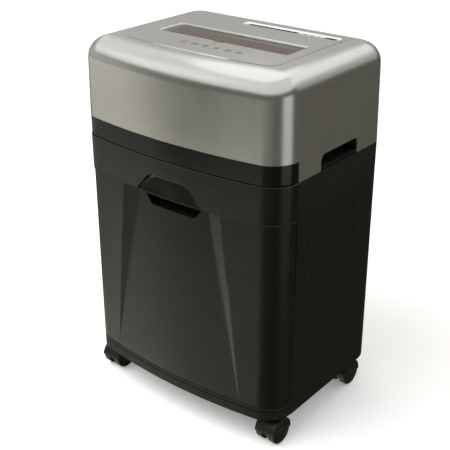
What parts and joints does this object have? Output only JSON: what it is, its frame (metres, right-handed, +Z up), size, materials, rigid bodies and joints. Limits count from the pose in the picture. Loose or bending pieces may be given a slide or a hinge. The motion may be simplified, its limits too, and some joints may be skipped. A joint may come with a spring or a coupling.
{
  "type": "paper shredder",
  "caption": "Office paper shredder with a silver head, tinted feed flap, card slot, pull-out bin drawer and swivel casters.",
  "frame": {"origin": "on the floor, under the middle of the cabinet's box", "axes": "+X to the right seen from the front, -Y towards the drawer front, +Z up"},
  "size_m": [0.37, 0.285, 0.566],
  "materials": {
    "silver_cover": "metallic silver paint, satin",
    "silver_strip": "metallic silver paint, satin",
    "gloss_collar": "high gloss black",
    "satin_front": "satin black, fine grain",
    "grained_panels": "moulded black with a fine grain",
    "tinted_flap": "smoky brown, clear gloss",
    "black_mouldings": "moulded black, matt",
    "switch_knob": "moulded black, ribbed",
    "bin_plastic": "moulded black, fine grain",
    "lamp_lens": "clear red lens",
    "cord_grommet": "soft rubber",
    "cutter_steel": "hardened steel, oiled",
    "zinc_steel": "zinc plated",
    "gear_nylon": "natural nylon",
    "motor_steel": "drawn steel can",
    "bearing_bronze": "sintered bronze",
    "circuit_board": "green board with black parts",
    "caster_hoods": "moulded black nylon",
    "caster_wheels": "moulded black nylon"
  },
  "bodies": {
    "cabinet": {"top_cover": "silver_cover", "card_slot_strip": "silver_strip", "front_collar": "gloss_collar", "side_panel_left": "grained_panels", "side_panel_right": "grained_panels", "rear_panel": "grained_panels", "base_tray": "grained_panels", "feed_throat": "black_mouldings", "card_ramp": "black_mouldings", "mode_switch_body": "black_mouldings", "head_tray": "black_mouldings", "stripper_comb_front": "black_mouldings", "stripper_comb_rear": "black_mouldings", "bin_switch": "black_mouldings", "status_lamp_lens": "lamp_lens", "cord_gland": "cord_grommet", "cutter_side_plate": "zinc_steel", "gear_side_plate": "zinc_steel", "tie_rod_front": "zinc_steel", "tie_rod_rear": "zinc_steel", "intermediate_gear_pin": "zinc_steel", "drawer_runner_left": "gear_nylon", "drawer_runner_right": "gear_nylon", "motor_body": "motor_steel", "bush_front_left": "bearing_bronze", "bush_front_right": "bearing_bronze", "bush_rear_left": "bearing_bronze", "bush_rear_right": "bearing_bronze", "control_board": "circuit_board"},
    "drawer": {"drawer_front": "satin_front", "switch_striker": "satin_front", "handle_pocket": "black_mouldings", "bin_body": "bin_plastic"},
    "flap": {"feed_flap": "tinted_flap"},
    "mode_switch": {"mode_switch_knob": "switch_knob"},
    "rear_cutter": {"cutter_shaft_rear": "cutter_steel", "sync_gear_rear": "zinc_steel", "drive_gear": "gear_nylon"},
    "front_cutter": {"cutter_shaft_front": "cutter_steel", "sync_gear_front": "zinc_steel"},
    "reduction_gear": {"intermediate_gear": "gear_nylon"},
    "rotor": {"motor_rotor": "zinc_steel"},
    "caster_front_left": {"caster_hood_front_left": "caster_hoods", "caster_axle_front_left": "zinc_steel"},
    "caster_front_right": {"caster_hood_front_right": "caster_hoods", "caster_axle_front_right": "zinc_steel"},
    "caster_rear_left": {"caster_hood_rear_left": "caster_hoods", "caster_axle_rear_left": "zinc_steel"},
    "caster_rear_right": {"caster_hood_rear_right": "caster_hoods", "caster_axle_rear_right": "zinc_steel"},
    "wheel_front_left_left": {"caster_wheel_front_left_left": "caster_wheels"},
    "wheel_front_left_right": {"caster_wheel_front_left_right": "caster_wheels"},
    "wheel_front_right_left": {"caster_wheel_front_right_left": "caster_wheels"},
    "wheel_front_right_right": {"caster_wheel_front_right_right": "caster_wheels"},
    "wheel_rear_left_left": {"caster_wheel_rear_left_left": "caster_wheels"},
    "wheel_rear_left_right": {"caster_wheel_rear_left_right": "caster_wheels"},
    "wheel_rear_right_left": {"caster_wheel_rear_right_left": "caster_wheels"},
    "wheel_rear_right_right": {"caster_wheel_rear_right_right": "caster_wheels"}
  },
  "joints": [
    {"name": "drawer_slide", "type": "slide", "parent": "cabinet", "child": "drawer", "axis": [0, -1, 0], "range_m": [0, 0.26]},
    {"name": "flap_hinge", "type": "hinge", "parent": "cabinet", "child": "flap", "pos_m": [0, 0.0246, 0.561], "axis": [-1, 0, 0], "range_deg": [0, 88]},
    {"name": "mode_slide", "type": "slide", "parent": "cabinet", "child": "mode_switch", "axis": [1, 0, 0], "range_m": [-0.005, 0.005]},
    {"name": "rear_cutter_spin", "type": "hinge", "parent": "cabinet", "child": "rear_cutter", "pos_m": [0, 0.0145, 0.478], "axis": [1, 0, 0], "continuous": true},
    {"name": "front_cutter_spin", "type": "hinge", "parent": "cabinet", "child": "front_cutter", "pos_m": [0, -0.0215, 0.478], "axis": [1, 0, 0], "continuous": true},
    {"name": "reduction_gear_spin", "type": "hinge", "parent": "cabinet", "child": "reduction_gear", "pos_m": [-0.133, 0.0605, 0.478], "axis": [1, 0, 0], "continuous": true},
    {"name": "rotor_spin", "type": "hinge", "parent": "cabinet", "child": "rotor", "pos_m": [-0.086, 0.0905, 0.478], "axis": [1, 0, 0], "continuous": true},
    {"name": "caster_swivel_front_left", "type": "hinge", "parent": "cabinet", "child": "caster_front_left", "pos_m": [-0.161, -0.086, 0.048], "axis": [0, 0, 1], "continuous": true},
    {"name": "wheel_spin_front_left_left", "type": "hinge", "parent": "caster_front_left", "child": "wheel_front_left_left", "pos_m": [-0.17225, -0.099, 0.02019], "axis": [1, 0, 0], "continuous": true},
    {"name": "wheel_spin_front_left_right", "type": "hinge", "parent": "caster_front_left", "child": "wheel_front_left_right", "pos_m": [-0.14975, -0.099, 0.02019], "axis": [1, 0, 0], "continuous": true},
    {"name": "caster_swivel_front_right", "type": "hinge", "parent": "cabinet", "child": "caster_front_right", "pos_m": [0.161, -0.086, 0.048], "axis": [0, 0, 1], "continuous": true},
    {"name": "wheel_spin_front_right_left", "type": "hinge", "parent": "caster_front_right", "child": "wheel_front_right_left", "pos_m": [0.14975, -0.099, 0.02019], "axis": [1, 0, 0], "continuous": true},
    {"name": "wheel_spin_front_right_right", "type": "hinge", "parent": "caster_front_right", "child": "wheel_front_right_right", "pos_m": [0.17225, -0.099, 0.02019], "axis": [1, 0, 0], "continuous": true},
    {"name": "caster_swivel_rear_left", "type": "hinge", "parent": "cabinet", "child": "caster_rear_left", "pos_m": [-0.161, 0.1085, 0.048], "axis": [0, 0, 1], "continuous": true},
    {"name": "wheel_spin_rear_left_left", "type": "hinge", "parent": "caster_rear_left", "child": "wheel_rear_left_left", "pos_m": [-0.17225, 0.0955, 0.02019], "axis": [1, 0, 0], "continuous": true},
    {"name": "wheel_spin_rear_left_right", "type": "hinge", "parent": "caster_rear_left", "child": "wheel_rear_left_right", "pos_m": [-0.14975, 0.0955, 0.02019], "axis": [1, 0, 0], "continuous": true},
    {"name": "caster_swivel_rear_right", "type": "hinge", "parent": "cabinet", "child": "caster_rear_right", "pos_m": [0.161, 0.1085, 0.048], "axis": [0, 0, 1], "continuous": true},
    {"name": "wheel_spin_rear_right_left", "type": "hinge", "parent": "caster_rear_right", "child": "wheel_rear_right_left", "pos_m": [0.14975, 0.0955, 0.02019], "axis": [1, 0, 0], "continuous": true},
    {"name": "wheel_spin_rear_right_right", "type": "hinge", "parent": "caster_rear_right", "child": "wheel_rear_right_right", "pos_m": [0.17225, 0.0955, 0.02019], "axis": [1, 0, 0], "continuous": true}
  ],
  "couplings": [
    {"joint": "front_cutter_spin", "follows": "rear_cutter_spin", "ratio": -1},
    {"joint": "reduction_gear_spin", "follows": "rear_cutter_spin", "ratio": -3.6},
    {"joint": "rotor_spin", "follows": "rear_cutter_spin", "ratio": 10.8}
  ]
}
